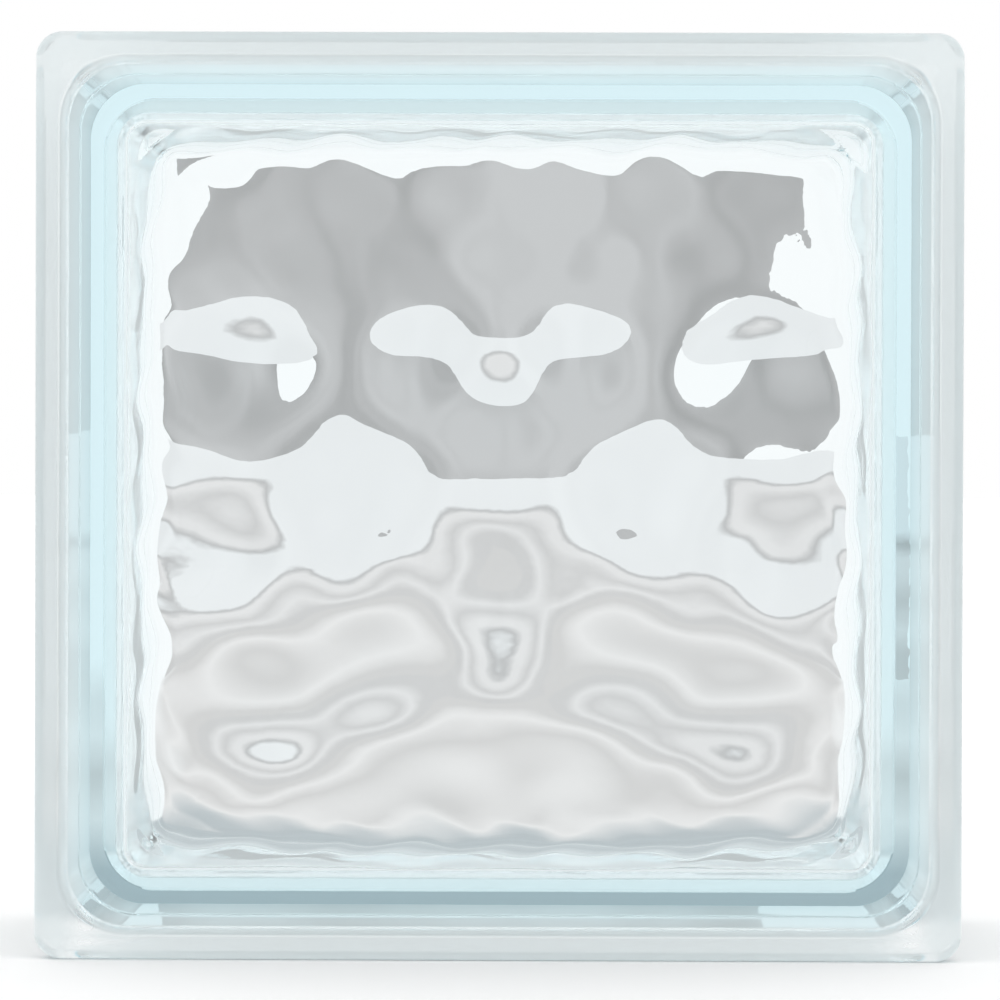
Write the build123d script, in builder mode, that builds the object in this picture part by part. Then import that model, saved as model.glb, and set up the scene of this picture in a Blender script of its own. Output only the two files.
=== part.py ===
"""Hollow pressed-glass block with a wave relief on the inside of both faces.

The block stands upright on its lower edge.  X runs along the wall, Y through the
wall from the front face to the back face, and Z up.  The origin is the middle of
the footprint.  Lengths are in millimetres and angles in degrees.

Two like halves are pressed face down and fused hot along their open rims, and what
leaves the kiln is one piece of glass with a sealed space inside.
"""
from build123d import *
from math import atan2, degrees, exp
import os

# Whole block
width = 190.0
height = 190.0
thickness = 80.0
corner_radius = 5.5

# Lip round each face, which hides the mortar joint
lip_depth = 8.0
lip_front_radius = 2.5
lip_back_radius = 1.0
lip_root_radius = 2.0

# Mortar groove round the edge, and the bead that the hot rims squeeze out at the seam
groove_depth = 6.4
groove_corner_radius = 12.0
seam_half_width = 3.0
seam_rise = 1.2
seam_radius = 1.5

# Side walls: their thickness at the seam, and how much farther in they come at the
# face, which is the draft that lets the plunger out
wall_thickness = 5.0
cavity_draft = 6.0
cavity_corner_radius = 5.0
cavity_fillet = 4.0

# Face and its wave relief: a pane, and swells that stand proud of its inside.
# Each swell is (across, up from the middle, breadth across, breadth up, height).
face_thickness = 7.0
relief_base = 0.4
swells = (
    (-54.0, 27.0, 12.0, 8.0, 1.4),
    (-16.0, 27.0, 7.0, 8.0, 1.1),
    (1.0, 18.0, 8.0, 7.0, 1.1),
    (18.0, 27.0, 7.0, 8.0, 1.1),
    (56.0, 26.0, 12.0, 8.0, 1.4),
    (-30.0, 2.0, 9.0, 10.0, 0.7),
    (32.0, 1.0, 9.0, 10.0, 0.7),
    (-62.0, -10.0, 9.0, 9.0, 0.8),
    (60.0, -12.0, 9.0, 9.0, 0.8),
    (1.0, -24.0, 7.0, 11.0, 1.1),
    (-24.0, -38.0, 9.0, 8.0, 1.2),
    (26.0, -38.0, 9.0, 8.0, 1.2),
    (-48.0, -46.0, 10.0, 8.0, 1.3),
    (50.0, -46.0, 10.0, 8.0, 1.3),
    (-16.0, -64.0, 11.0, 11.0, 1.0),
    (18.0, -64.0, 11.0, 11.0, 1.0),
)
relief_grid_step = 5.0
relief_overlap = 6.0

half = thickness / 2
middle = height / 2
groove_width = width - 2 * groove_depth
groove_height = height - 2 * groove_depth
groove_run = half - lip_depth - seam_half_width
cavity_width = groove_width - 2 * (wall_thickness + cavity_draft)
cavity_height = groove_height - 2 * (wall_thickness + cavity_draft)
cavity_run = half - face_thickness


def cross_section(depth):
    """Plane square to the block's thickness, at a depth from the front face."""
    return Plane((0, depth - half, middle), x_dir=(1, 0, 0), z_dir=(0, 1, 0))


def draft_angle(widening, run):
    """Angle that widens an outline by a length on each side along a run."""
    return degrees(atan2(widening, run))


def relief(across, up):
    """How far the relief stands off the pane at a point measured from its middle."""
    return relief_base + sum(
        rise * exp(-(((across - x) / wide) ** 2 + ((up - z) / tall) ** 2) / 2)
        for x, z, wide, tall, rise in swells
    )


def relief_face():
    """Inner face of the front half as one smooth surface, wider than the cavity."""
    reach_x = cavity_width / 2 + relief_overlap
    reach_z = cavity_height / 2 + relief_overlap
    columns = round(2 * reach_x / relief_grid_step)
    rows = round(2 * reach_z / relief_grid_step)
    points = []
    for row in range(rows + 1):
        up = -reach_z + 2 * reach_z * row / rows
        line = []
        for column in range(columns + 1):
            across = -reach_x + 2 * reach_x * column / columns
            inside = face_thickness - half + relief(across, up)
            line.append(Vector(across, inside, middle + up))
        points.append(line)
    return Face.make_surface_from_array_of_points(points, tol=0.005, min_deg=3)


# The space inside the front half: drafted walls, rounded into the pane, with the
# swells taken out of its floor
with BuildPart() as cavity:
    with BuildSketch(cross_section(face_thickness)):
        RectangleRounded(cavity_width, cavity_height, cavity_corner_radius)
    extrude(amount=cavity_run, taper=-draft_angle(cavity_draft, cavity_run))
    fillet(cavity.faces().sort_by(Axis.Y)[0].edges(), radius=cavity_fillet)
    extrude(relief_face(), amount=thickness, dir=(0, 1, 0), mode=Mode.INTERSECT)

# The outside of one pressed half: lip, groove floor and half of the seam's bead
with BuildPart() as pressed_half:
    with BuildSketch(cross_section(0)):
        RectangleRounded(width, height, corner_radius)
    extrude(amount=lip_depth)
    fillet(pressed_half.faces().sort_by(Axis.Y)[0].edges(), radius=lip_front_radius)
    fillet(pressed_half.faces().sort_by(Axis.Y)[-1].edges(), radius=lip_back_radius)
    with BuildSketch(cross_section(lip_depth)):
        RectangleRounded(groove_width, groove_height, groove_corner_radius)
    extrude(amount=groove_run)
    lip_back = pressed_half.faces().filter_by(Plane.XZ).sort_by(Axis.Y)[-2]
    fillet(lip_back.inner_wires().edges(), radius=lip_root_radius)
    with BuildSketch(cross_section(half - seam_half_width)):
        RectangleRounded(groove_width, groove_height, groove_corner_radius)
    extrude(amount=seam_half_width, taper=-draft_angle(seam_rise, seam_half_width))

# The two halves, the back one turned about: fused, the bead's crest rounded, and the
# space inside taken out
with BuildPart() as glass_block:
    add(pressed_half.part)
    add(pressed_half.part.rotate(Axis.Z, 180))
    fillet(glass_block.edges().group_by(Axis.Y).group(0), radius=seam_radius)
    add(cavity.part, mode=Mode.SUBTRACT)
    add(cavity.part.rotate(Axis.Z, 180), mode=Mode.SUBTRACT)

glass_block.part.label = "glass_block"
os.makedirs("parts", exist_ok=True)
export_step(glass_block.part, "parts/glass_block.step")
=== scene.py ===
"""Studio picture of a hollow glass block, built round the frame of its CAD model."""
from math import cos, exp, pi, radians, sin

import bpy
from mathutils import Euler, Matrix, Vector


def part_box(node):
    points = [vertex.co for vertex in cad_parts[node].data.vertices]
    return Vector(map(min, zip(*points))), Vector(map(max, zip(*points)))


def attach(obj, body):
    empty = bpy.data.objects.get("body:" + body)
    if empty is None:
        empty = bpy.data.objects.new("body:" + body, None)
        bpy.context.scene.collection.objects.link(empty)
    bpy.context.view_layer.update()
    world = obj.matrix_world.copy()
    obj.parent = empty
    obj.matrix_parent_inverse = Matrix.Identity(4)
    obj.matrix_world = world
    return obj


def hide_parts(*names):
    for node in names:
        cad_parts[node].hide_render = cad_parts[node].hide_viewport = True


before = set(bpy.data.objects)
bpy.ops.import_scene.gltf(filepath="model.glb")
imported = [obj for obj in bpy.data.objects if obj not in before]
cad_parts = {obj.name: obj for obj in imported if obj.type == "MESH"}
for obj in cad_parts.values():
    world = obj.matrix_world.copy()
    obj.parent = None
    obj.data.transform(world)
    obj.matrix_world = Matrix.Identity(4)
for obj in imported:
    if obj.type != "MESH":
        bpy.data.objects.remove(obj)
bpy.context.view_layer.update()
block_lo, block_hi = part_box("glass_block")

# Sizes of the block, in metres
mm = 0.001
thickness = block_hi.y - block_lo.y
half = thickness / 2
half_width = (block_hi.x - block_lo.x) / 2
middle = (block_lo.z + block_hi.z) / 2
corner_radius = 5.5 * mm
lip_depth = 8.0 * mm
lip_front_radius = 2.5 * mm
lip_back_radius = 1.0 * mm
lip_root_radius = 2.0 * mm
groove_depth = 6.4 * mm
groove_corner_radius = 12.0 * mm
seam_half_width = 3.0 * mm
seam_rise = 1.2 * mm
wall_thickness = 5.0 * mm
cavity_draft = 6.0 * mm
cavity_corner_radius = 5.0 * mm
cavity_fillet = 4.0 * mm
face_thickness = 7.0 * mm

# Half the width of the space inside, at the seam and at a face
seam_size = half_width - groove_depth - wall_thickness
face_size = seam_size - cavity_draft

# How much of the glass the milky coat covers: on the back of a lip, and in the groove.
# It thins by a share round a spot in each corner, which lies this far from the middle.
lip_coat = 0.78
groove_coat = 0.55
thin_share = 0.85
thin_place = 85.0 * mm
thin_spread = 1.8 * mm

# Wave relief on the inside of a face, in millimetres: each swell is (across, up from
# the middle, breadth across, breadth up, height)
relief_base = 0.4
swells = (
    (-54.0, 27.0, 12.0, 8.0, 1.4),
    (-16.0, 27.0, 7.0, 8.0, 1.1),
    (1.0, 18.0, 8.0, 7.0, 1.1),
    (18.0, 27.0, 7.0, 8.0, 1.1),
    (56.0, 26.0, 12.0, 8.0, 1.4),
    (-30.0, 2.0, 9.0, 10.0, 0.7),
    (32.0, 1.0, 9.0, 10.0, 0.7),
    (-62.0, -10.0, 9.0, 9.0, 0.8),
    (60.0, -12.0, 9.0, 9.0, 0.8),
    (1.0, -24.0, 7.0, 11.0, 1.1),
    (-24.0, -38.0, 9.0, 8.0, 1.2),
    (26.0, -38.0, 9.0, 8.0, 1.2),
    (-48.0, -46.0, 10.0, 8.0, 1.3),
    (50.0, -46.0, 10.0, 8.0, 1.3),
    (-16.0, -64.0, 11.0, 11.0, 1.0),
    (18.0, -64.0, 11.0, 11.0, 1.0),
)
swell_cutoff = 30.0

# Rise of the pane beside the walls, in millimetres: its height, its reach, and how far
# the reach wanders
border_height = 0.7
border_reach = 6.5
border_wander = (1.8, 1.4)

# Faint unevenness of the waves: each ripple is (height in millimetres, radians per
# millimetre across, the same up, start, bend)
ripples = (
    (0.035, 0.30, 0.17, 0.0, 0.6),
    (0.030, -0.27, 0.24, 2.0, 0.0),
    (0.018, 0.14, 0.50, 1.1, 0.0),
)


def border_rise(across, up):
    """Thickening of the pane toward the walls, which wanders in and out along them."""
    squareness = 8
    beside = face_size / mm - (abs(across) ** squareness + abs(up) ** squareness) ** (1 / squareness)
    slow, quick = border_wander
    reach = border_reach + slow * sin(0.17 * across + 0.21 * up + 1.3)
    reach += quick * sin(0.41 * up - 0.37 * across)
    if beside > reach:
        return 0.0
    return border_height * (1 - max(beside, 0.0) / reach) ** 2


def ripple(across, up):
    """Faint unevenness that the plunger leaves all over the waves."""
    sway = sin(0.09 * up + 0.4)
    return sum(
        rise * sin(pace_across * across + pace_up * up + start + bend * sway)
        for rise, pace_across, pace_up, start, bend in ripples
    )


def relief(x, z):
    """How far the inside of the front face stands off its pane, in metres."""
    across = x / mm
    up = z / mm
    height = relief_base + border_rise(across, up) + ripple(across, up)
    for place, level, wide, tall, rise in swells:
        spread = ((across - place) / wide) ** 2 + ((up - level) / tall) ** 2
        if spread < swell_cutoff:
            height += rise * exp(-spread / 2)
    return height * mm


def outline(size, radius, straight_steps, arc_steps):
    """One side's points of a rounded square, from the middle of one corner to the next."""
    points = []
    flat = size - radius
    for step in range(arc_steps):
        turn = radians(45) * (1 - step / arc_steps)
        points.append((size - radius * (1 - cos(turn)), -flat - radius * sin(turn)))
    for step in range(straight_steps + 1):
        points.append((size, flat * (2 * step / straight_steps - 1)))
    for step in range(1, arc_steps):
        turn = radians(45) * step / arc_steps
        points.append((size - radius * (1 - cos(turn)), flat + radius * sin(turn)))
    return points


def ring(size, radius, straight_steps, arc_steps):
    """All four sides of a rounded square, counter-clockwise as the front shows it."""
    side = outline(size, radius, straight_steps, arc_steps)
    loop = list(side)
    loop += [(-z, x) for x, z in side]
    loop += [(-x, -z) for x, z in side]
    loop += [(z, -x) for x, z in side]
    return loop


def corner_fade(x, z):
    """Share of the coat left at a place: it thins at the corners, and below the lower ones."""
    aside = (abs(x) - thin_place) / thin_spread
    along = (abs(z) - thin_place) / thin_spread
    if z < 0:
        along = min(along, 0.0)
    return 1 - thin_share * exp(-(aside ** 2 + along ** 2) / 2)


class Shell:
    """Vertices and faces of one closed surface, made of rings and two caps."""

    def __init__(self, straight_steps, arc_steps):
        self.steps = (straight_steps, arc_steps)
        self.side = straight_steps + 2 * arc_steps
        self.vertices = []
        self.faces = []
        self.coat = []

    def add_ring(self, size, radius, depth, coat=0.0):
        """Adds a loop of points; depth is a number or a function of x and z."""
        start = len(self.vertices)
        for x, z in ring(size, radius, *self.steps):
            y = depth(x, z) if callable(depth) else depth
            self.vertices.append((x, y, middle + z))
            self.coat.append(coat * corner_fade(x, z))
        return start

    def join(self, first, second):
        """Bridges two rings with quads."""
        count = 4 * self.side
        for k in range(count):
            nxt = (k + 1) % count
            self.faces.append((first + k, second + k, second + nxt, first + nxt))

    def join_all(self, starts):
        """Bridges a run of rings, each to the next."""
        for first, second in zip(starts, starts[1:]):
            self.join(first, second)

    def cap(self, start, size, radius, depth, flip):
        """Closes a ring with a grid that follows its rounded corners."""
        n = self.side
        border = ring(size, radius, *self.steps)
        grid = {}

        def border_index(i, j):
            """Place on the ring of a point on the grid's edge."""
            if i == n:
                return j % (4 * n)
            if j == n:
                return n + (n - i)
            if i == 0:
                return 2 * n + (n - j)
            return (3 * n + i) % (4 * n)

        for i in range(n + 1):
            for j in range(n + 1):
                u = 2 * i / n - 1
                v = 2 * j / n - 1
                reach = max(abs(u), abs(v))
                if reach > 1 - 0.5 / n:
                    grid[i, j] = start + border_index(i, j)
                    continue
                if reach < 0.5 / n:
                    x, z = 0.0, 0.0
                else:
                    a = (u / reach + 1) * n / 2
                    b = (v / reach + 1) * n / 2
                    x, z = blend_border(border, border_index, a, b, n)
                    x *= reach
                    z *= reach
                grid[i, j] = len(self.vertices)
                y = depth(x, z) if callable(depth) else depth
                self.vertices.append((x, y, middle + z))
                self.coat.append(0.0)
        for i in range(n):
            for j in range(n):
                quad = (grid[i, j], grid[i + 1, j], grid[i + 1, j + 1], grid[i, j + 1])
                self.faces.append(quad[::-1] if flip else quad)


def blend_border(border, border_index, a, b, n):
    """Point on the ring's edge between two of its points, for a grid place on the edge."""
    i, j = int(a + 1e-9), int(b + 1e-9)
    if abs(a - n) < 1e-6 or a < 1e-6:
        i = n if a > n / 2 else 0
        part = b - j
        other = (i, min(j + 1, n))
    else:
        j = n if b > n / 2 else 0
        part = a - i
        other = (min(i + 1, n), j)
    x0, z0 = border[border_index(i, j)]
    x1, z1 = border[border_index(*other)]
    return x0 + (x1 - x0) * part, z0 + (z1 - z0) * part


def arc(centre_depth, centre_inset, radius, start, end, steps):
    """Points (depth, inset) of an arc in the section, angles in degrees from the depth axis."""
    points = []
    for step in range(steps + 1):
        turn = radians(start + (end - start) * step / steps)
        points.append((centre_depth + radius * cos(turn), centre_inset + radius * sin(turn)))
    return points


def outer_section():
    """Half of the outside's section, front face to seam: (depth, inset, corner radius, coat)."""
    support = 0.3 * mm
    smallest_radius = 0.5 * mm
    large_bend_steps = 8
    small_bend_steps = 6
    seam_steps = 10
    rows = []

    def lip_radius(inset):
        """Corner radius of the lip's outline where it is inset by a length."""
        return max(corner_radius - inset, smallest_radius)

    rows.append((0.0, lip_front_radius + support, lip_radius(lip_front_radius + support), 0.0))
    for depth, inset in arc(lip_front_radius, lip_front_radius, lip_front_radius, 180, 270,
                            large_bend_steps):
        rows.append((depth, inset, lip_radius(inset), 0.0))
    rows.append((lip_front_radius + support, 0.0, corner_radius, 0.0))
    back = lip_depth - lip_back_radius
    rows.append((back - support, 0.0, corner_radius, 0.0))
    for depth, inset in arc(back, lip_back_radius, lip_back_radius, -90, 0, small_bend_steps):
        rows.append((depth, inset, lip_radius(inset), 0.0))
    root = groove_depth - lip_root_radius
    first_radius = lip_radius(lip_back_radius)
    last_radius = groove_corner_radius + lip_root_radius
    for part in (0.1, 0.5, 0.9):
        inset = lip_back_radius + (root - lip_back_radius) * part
        radius = first_radius + (last_radius - first_radius) * part
        rows.append((lip_depth, inset, radius, lip_coat))
    for depth, inset in arc(lip_depth + lip_root_radius, root, lip_root_radius, 180, 90,
                            large_bend_steps):
        rows.append((depth, inset, groove_corner_radius + groove_depth - inset, groove_coat))
    run_start = lip_depth + lip_root_radius
    run_end = half - seam_half_width
    for part in (0.02, 0.2, 0.4, 0.6, 0.8, 0.98):
        depth = run_start + (run_end - run_start) * part
        rows.append((depth, groove_depth, groove_corner_radius, groove_coat))
    for step in range(1, seam_steps + 1):
        part = step / seam_steps
        rise = seam_rise * (1 - cos(pi * part)) / 2
        depth = run_end + seam_half_width * part
        rows.append((depth, groove_depth - rise, groove_corner_radius + rise, groove_coat))
    return rows


def build_outside():
    """The block's outside: its section to the seam and back, and the two flat faces."""
    shell = Shell(straight_steps=24, arc_steps=12)
    rows = outer_section()
    starts = []
    for depth, inset, radius, coat in rows:
        starts.append(shell.add_ring(half_width - inset, radius, depth - half, coat))
    for depth, inset, radius, coat in reversed(rows[:-1]):
        starts.append(shell.add_ring(half_width - inset, radius, half - depth, coat))
    shell.join_all(starts)
    first_inset, first_radius = rows[0][1:3]
    shell.cap(starts[0], half_width - first_inset, first_radius, -half, flip=False)
    shell.cap(starts[-1], half_width - first_inset, first_radius, half, flip=True)
    return shell


def wall_size(depth):
    """Half the width of the space inside at a depth from the front."""
    from_seam = abs(depth - half) / (half - face_thickness)
    return seam_size - cavity_draft * from_seam


def face_ring(inset, drop, front):
    """Ring on a face's inside: the waves, or the rounded corner where that stands higher."""

    def depth(x, z):
        """Place of a point of the ring, from the block's middle."""
        if front:
            return face_thickness - half + max(relief(x, z), drop)
        return half - face_thickness - max(relief(-x, z), drop)

    smallest_radius = 0.6 * mm
    return face_size - inset, max(cavity_corner_radius - inset, smallest_radius), depth


def build_space():
    """The sealed space inside: waves, rounded corner and drafted walls, twice over."""
    shell = Shell(straight_steps=124, arc_steps=10)
    corner_steps = 16
    near_wall_steps = 7
    near_wall_step = 0.5 * mm
    wall_steps = 12
    rows = []
    for step in range(corner_steps):
        turn = radians(90) * step / corner_steps
        rows.append((cavity_fillet * (1 - cos(turn)), cavity_fillet * (1 - sin(turn))))
    for step in range(near_wall_steps):
        rows.append((cavity_fillet + near_wall_step * step, 0.0))
    starts = []
    for inset, drop in reversed(rows):
        starts.append(shell.add_ring(*face_ring(inset, drop, True)))
    run_start = face_thickness + cavity_fillet + 1.0 * mm
    for step in range(wall_steps + 1):
        depth = run_start + (thickness - 2 * run_start) * step / wall_steps
        widening = wall_size(depth) - face_size
        starts.append(shell.add_ring(wall_size(depth), cavity_corner_radius + widening, depth - half))
    for inset, drop in rows:
        starts.append(shell.add_ring(*face_ring(inset, drop, False)))
    shell.join_all(starts)
    size, radius, front_depth = face_ring(*rows[-1], True)
    back_depth = face_ring(*rows[-1], False)[2]
    shell.cap(starts[0], size, radius, front_depth, flip=False)
    shell.cap(starts[-1], size, radius, back_depth, flip=True)
    return shell


def build_block():
    """The whole block as one mesh, with the space's faces turned toward the space."""
    outer = build_outside()
    inner = build_space()
    base = len(outer.vertices)
    vertices = outer.vertices + inner.vertices
    faces = outer.faces + [tuple(base + v for v in face[::-1]) for face in inner.faces]
    mesh = bpy.data.meshes.new("pressed_glass")
    mesh.from_pydata(vertices, [], faces)
    mesh.attributes.new("coat", "FLOAT", "POINT").data.foreach_set("value", outer.coat + inner.coat)
    mesh.polygons.foreach_set("use_smooth", [True] * len(faces))
    mesh.update()
    piece = bpy.data.objects.new("pressed_glass", mesh)
    bpy.context.scene.collection.objects.link(piece)
    return piece


def new_material(name):
    """Empty node material: the material, its nodes, its links and its output."""
    material = bpy.data.materials.new(name)
    material.use_nodes = True
    nodes = material.node_tree.nodes
    nodes.remove(nodes["Principled BSDF"])
    return material, nodes, material.node_tree.links, nodes["Material Output"]


def noise_bump(nodes, links, scale, detail, strength, distance):
    """Bump from a noise: the noise, for its place input, and the normal."""
    noise = nodes.new("ShaderNodeTexNoise")
    noise.inputs["Scale"].default_value = scale
    noise.inputs["Detail"].default_value = detail
    bump = nodes.new("ShaderNodeBump")
    bump.inputs["Strength"].default_value = strength
    bump.inputs["Distance"].default_value = distance
    links.new(noise.outputs["Fac"], bump.inputs["Height"])
    return noise, bump.outputs["Normal"]


def mix_shaders(nodes, links, share, first, second):
    """Mix of two shaders by a share, which is a number or a socket."""
    mix = nodes.new("ShaderNodeMixShader")
    if isinstance(share, float):
        mix.inputs["Fac"].default_value = share
    else:
        links.new(share, mix.inputs["Fac"])
    links.new(first, mix.inputs[1])
    links.new(second, mix.inputs[2])
    return mix.outputs["Shader"]


def plain_shader(nodes, kind, colour):
    """Shader node of one kind in one colour."""
    node = nodes.new(kind)
    node.inputs["Color"].default_value = (*colour, 1.0)
    return node


def map_range(nodes, links, value, low, high):
    """Value brought to 0 at the low end of a range and to 1 at the high end."""
    span = nodes.new("ShaderNodeMapRange")
    span.inputs["From Min"].default_value = low
    span.inputs["From Max"].default_value = high
    links.new(value, span.inputs["Value"])
    return span.outputs["Result"]


def ramp(nodes, links, value, stops):
    """Colour ramp over a value, from (place, level) pairs."""
    node = nodes.new("ShaderNodeValToRGB")
    node.color_ramp.interpolation = "LINEAR"
    elements = node.color_ramp.elements
    for place, _ in stops[2:]:
        elements.new(place)
    for element, (place, level) in zip(elements, stops):
        element.position = place
        element.color = (*level, 1.0)
    links.new(value, node.inputs["Fac"])
    return node.outputs["Color"]


def glass_material():
    """Clear pressed glass with a fire-polished skin, under a milky coat on the groove."""
    clear = (1.0, 1.0, 1.0)
    milky = (0.95, 0.995, 1.0)
    translucency = 0.8
    tint = (0.34, 0.78, 0.88)
    tint_density = 6.8
    material, nodes, links, output = new_material("clear_glass")
    place = nodes.new("ShaderNodeTexCoord")
    glass = nodes.new("ShaderNodeBsdfPrincipled")
    glass.inputs["Base Color"].default_value = (*clear, 1.0)
    glass.inputs["Roughness"].default_value = 0.0
    glass.inputs["IOR"].default_value = 1.52
    glass.inputs["Transmission Weight"].default_value = 1.0
    noise, normal = noise_bump(nodes, links, scale=90.0, detail=3.0, strength=1.0, distance=0.02 * mm)
    links.new(place.outputs["Object"], noise.inputs["Vector"])
    links.new(normal, glass.inputs["Normal"])

    paint = plain_shader(nodes, "ShaderNodeBsdfDiffuse", milky).outputs["BSDF"]
    through = plain_shader(nodes, "ShaderNodeBsdfTranslucent", milky).outputs["BSDF"]
    milk = mix_shaders(nodes, links, translucency, paint, through)
    cover = nodes.new("ShaderNodeAttribute")
    cover.attribute_name = "coat"
    skin = mix_shaders(nodes, links, cover.outputs["Fac"], glass.outputs["BSDF"], milk)
    links.new(skin, output.inputs["Surface"])

    absorb = plain_shader(nodes, "ShaderNodeVolumeAbsorption", tint)
    absorb.inputs["Density"].default_value = tint_density
    links.new(absorb.outputs["Volume"], output.inputs["Volume"])
    return material


def floor_glow(nodes, links):
    """Colour of the floor through the glass, by its place behind the block and beside it: painted light
    beneath the block, a painted shadow just behind it, bands of painted shade farther back, and white to the
    sides.
    """
    white = (1.0, 1.0, 1.0)
    # Painted light on the floor beneath the block, where its shadow would fall
    under = (0.95, 0.95, 0.95)
    # Painted shadow of the block on the floor just behind it
    near_shadow = (0.45, 0.49, 0.51)
    # Grey bands of painted shade on the floor farther back
    far = (0.64, 0.615, 0.605)
    pale = (0.84, 0.81, 0.80)
    start = -0.2
    end = 1.8
    tones = (
        (-0.2, white),
        (-0.08, white),
        (-0.05, under),
        (0.024, under),
        (0.05, near_shadow),
        (0.16, near_shadow),
        (0.30, pale),
        (0.46, far),
        (0.64, pale),
        (0.84, far),
        (1.04, far),
        (1.40, white),
    )
    inner_reach = 0.13
    outer_reach = 0.22
    place = nodes.new("ShaderNodeTexCoord")
    split = nodes.new("ShaderNodeSeparateXYZ")
    links.new(place.outputs["Object"], split.inputs["Vector"])
    along = map_range(nodes, links, split.outputs["Y"], start, end)
    deep = ramp(nodes, links, along, [((y - start) / (end - start), tone) for y, tone in tones])
    beside = nodes.new("ShaderNodeMath")
    beside.operation = "ABSOLUTE"
    links.new(split.outputs["X"], beside.inputs[0])
    blend = nodes.new("ShaderNodeMixRGB")
    links.new(map_range(nodes, links, beside.outputs["Value"], inner_reach, outer_reach), blend.inputs["Fac"])
    links.new(deep, blend.inputs["Color1"])
    blend.inputs["Color2"].default_value = (*white, 1.0)
    return blend.outputs["Color"]


def floor_material():
    """Pale paint: it keeps the shadow for the camera and glows evenly for diffuse rays; through the glass it
    glows with the painted shadow, painted light and painted shade of floor_glow.
    """
    material, nodes, links, output = new_material("floor_paint")
    material.cycles.emission_sampling = "NONE"
    path = nodes.new("ShaderNodeLightPath")
    paint = plain_shader(nodes, "ShaderNodeBsdfDiffuse", (1.0, 1.0, 1.0))
    _, normal = noise_bump(nodes, links, scale=140.0, detail=4.0, strength=0.4, distance=0.3 * mm)
    links.new(normal, paint.inputs["Normal"])
    light = plain_shader(nodes, "ShaderNodeEmission", (0.95, 0.95, 0.95)).outputs["Emission"]
    lit = mix_shaders(nodes, links, path.outputs["Is Diffuse Ray"], paint.outputs["BSDF"], light)
    # Glow seen through the glass: the floor's painted shadow, painted light and painted shade
    glow = nodes.new("ShaderNodeEmission")
    links.new(floor_glow(nodes, links), glow.inputs["Color"])
    seen = mix_shaders(nodes, links, path.outputs["Is Transmission Ray"], lit, glow.outputs["Emission"])
    links.new(seen, output.inputs["Surface"])
    return material


def build_world():
    """White to the camera and through the glass, and brighter where it lights the coat."""
    seen_strength = 1.0
    lighting_strength = 1.15
    world = bpy.data.worlds.new("studio")
    bpy.context.scene.world = world
    world.use_nodes = True
    world.cycles.sampling_method = "NONE"
    nodes = world.node_tree.nodes
    links = world.node_tree.links
    white = nodes["Background"]
    light = nodes.new("ShaderNodeBackground")
    for node, strength in ((white, seen_strength), (light, lighting_strength)):
        node.inputs["Color"].default_value = (1.0, 1.0, 1.0, 1.0)
        node.inputs["Strength"].default_value = strength
    path = nodes.new("ShaderNodeLightPath")
    mix = mix_shaders(nodes, links, path.outputs["Is Diffuse Ray"], white.outputs["Background"],
                      light.outputs["Background"])
    links.new(mix, nodes["World Output"].inputs["Surface"])


def card_material(name, low, high, levels, streaks):
    """Glow shaded from a card's foot to its top, with soft upright streaks of painted shade."""
    material, nodes, links, output = new_material(name)
    material.cycles.emission_sampling = "NONE"
    place = nodes.new("ShaderNodeTexCoord")
    split = nodes.new("ShaderNodeSeparateXYZ")
    links.new(place.outputs["Object"], split.inputs["Vector"])
    height = map_range(nodes, links, split.outputs["Z"], low, high)
    # Soft upright streaks of painted shade across the glow
    streaks_per_metre = (14.0, 1.0, 2.5)
    stretch = nodes.new("ShaderNodeMapping")
    stretch.inputs["Scale"].default_value = streaks_per_metre
    links.new(place.outputs["Object"], stretch.inputs["Vector"])
    streak_noise = nodes.new("ShaderNodeTexNoise")
    streak_noise.inputs["Scale"].default_value = 1.0
    streak_noise.inputs["Detail"].default_value = 2.0
    links.new(stretch.outputs["Vector"], streak_noise.inputs["Vector"])
    fall = nodes.new("ShaderNodeMapRange")
    fall.inputs["From Min"].default_value = 0.35
    fall.inputs["From Max"].default_value = 0.65
    fall.inputs["To Min"].default_value = 1.0 - streaks
    fall.inputs["To Max"].default_value = 1.0 + streaks / 3
    links.new(streak_noise.outputs["Fac"], fall.inputs["Value"])
    glow = nodes.new("ShaderNodeEmission")
    links.new(ramp(nodes, links, height, levels), glow.inputs["Color"])
    links.new(fall.outputs["Result"], glow.inputs["Strength"])
    links.new(glow.outputs["Emission"], output.inputs["Surface"])
    return material


def card_part(name, left, right, low, high, behind, levels, lean=0.0, streaks=0.0):
    """Upright glowing card behind the block, which only the glass and mirrors show."""
    mesh = bpy.data.meshes.new(name)
    corners = [(left, behind, low), (right - lean, behind, low), (right, behind, high), (left, behind, high)]
    mesh.from_pydata(corners, [], [(0, 1, 2, 3)])
    card = bpy.data.objects.new(name, mesh)
    bpy.context.scene.collection.objects.link(card)
    card.visible_camera = False
    card.visible_shadow = False
    card.visible_diffuse = False
    mesh.materials.append(card_material(name, low, high, levels, streaks))


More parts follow.
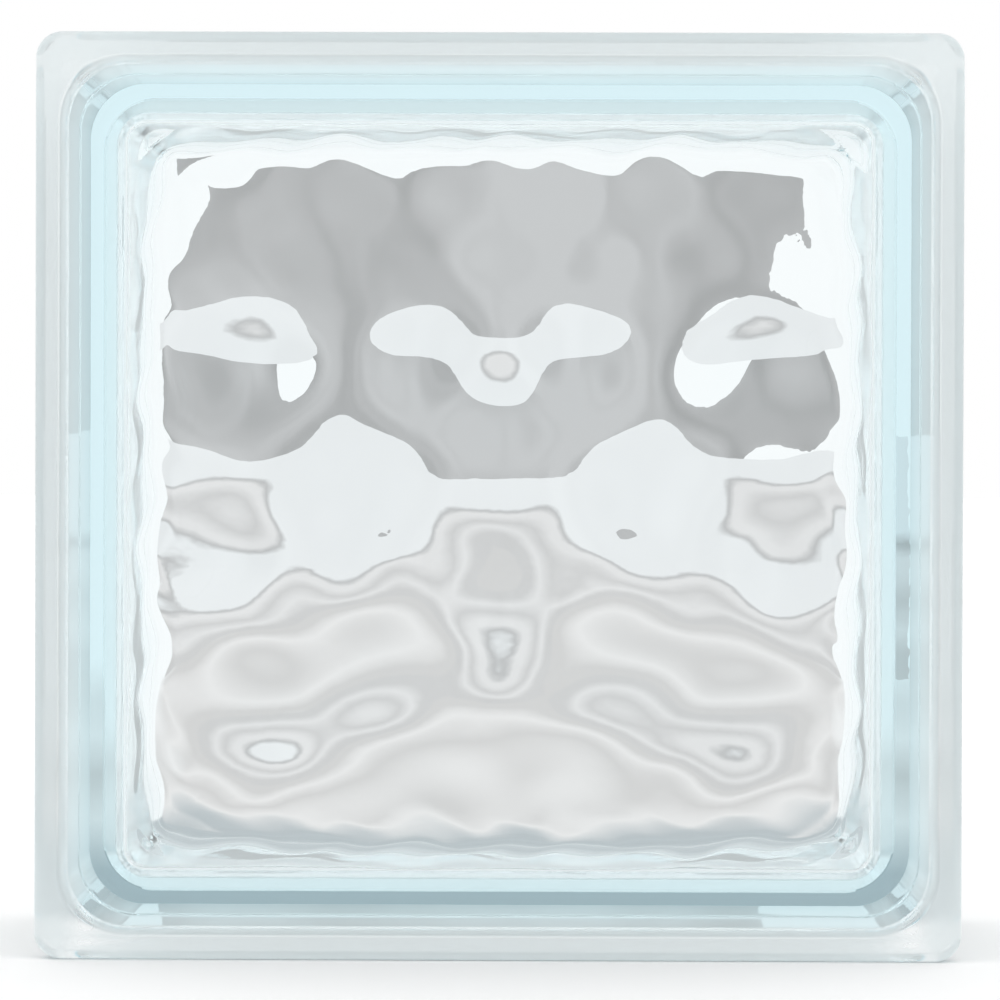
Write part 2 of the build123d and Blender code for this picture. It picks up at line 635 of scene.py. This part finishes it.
def build_cards():
    """Grey glowing card of painted shade behind the upper half, which makes the waves show, over a pale one
    with a painted shadow line and bands of painted shade.
    """
    behind = half + 1.0
    meeting = middle + 0.022
    top = middle + 0.174
    layer = 0.001
    # The grey card is a glowing sheet of painted shade that stands in for the dim room behind the block
    grey = (0.48, 0.472, 0.474)
    card_part("grey_card", -0.168, 0.152, meeting, top, behind, ((0.0, grey), (1.0, grey)),
              lean=0.035, streaks=0.4)
    # The pale card glows white above a painted shadow line where the table meets it, with bands of painted
    # shade on the table below
    white = (0.86, 0.86, 0.865)
    shadow_line = (0.50, 0.49, 0.49)
    warm = (0.62, 0.60, 0.595)
    pale = (0.80, 0.775, 0.77)
    levels = (
        (0.0, warm),
        (0.10, warm),
        (0.20, pale),
        (0.32, warm),
        (0.44, pale),
        (0.50, pale),
        (0.555, shadow_line),
        (0.60, white),
        (1.0, white),
    )
    card_part("pale_card", -0.19, 0.19, 0.0, meeting, behind + layer, levels, streaks=0.05)


def build_floor():
    """Pale floor on which the block stands."""
    reach_back = 12.0
    reach_front = 3.0
    reach_side = 8.0
    corners = [(-reach_side, -reach_front, 0), (reach_side, -reach_front, 0),
               (reach_side, reach_back, 0), (-reach_side, reach_back, 0)]
    mesh = bpy.data.meshes.new("floor")
    mesh.from_pydata(corners, [], [(0, 1, 2, 3)])
    floor = bpy.data.objects.new("floor", mesh)
    bpy.context.scene.collection.objects.link(floor)
    mesh.materials.append(floor_material())


def build_camera():
    """Camera at the photograph's place: a little right of and above the block's middle."""
    distance = 0.780
    right = 0.005
    up = 0.006
    look_down = 0.49
    roll = -0.18
    turn = 0.35
    data = bpy.data.cameras.new("camera")
    data.sensor_width = 36.0
    data.lens = 137.6
    camera = bpy.data.objects.new("camera", data)
    bpy.context.scene.collection.objects.link(camera)
    camera.location = (right, block_lo.y - distance, middle + up)
    camera.rotation_euler = Euler((radians(90 - look_down), radians(roll), radians(turn)))
    bpy.context.scene.camera = camera


block = build_block()
block.data.materials.append(glass_material())
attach(block, "root")
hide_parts("glass_block")

build_floor()
build_cards()
build_world()
build_camera()

scene = bpy.context.scene
scene.view_settings.view_transform = "Standard"
scene.cycles.max_bounces = 14
scene.cycles.transmission_bounces = 14
scene.cycles.glossy_bounces = 10
scene.cycles.diffuse_bounces = 5
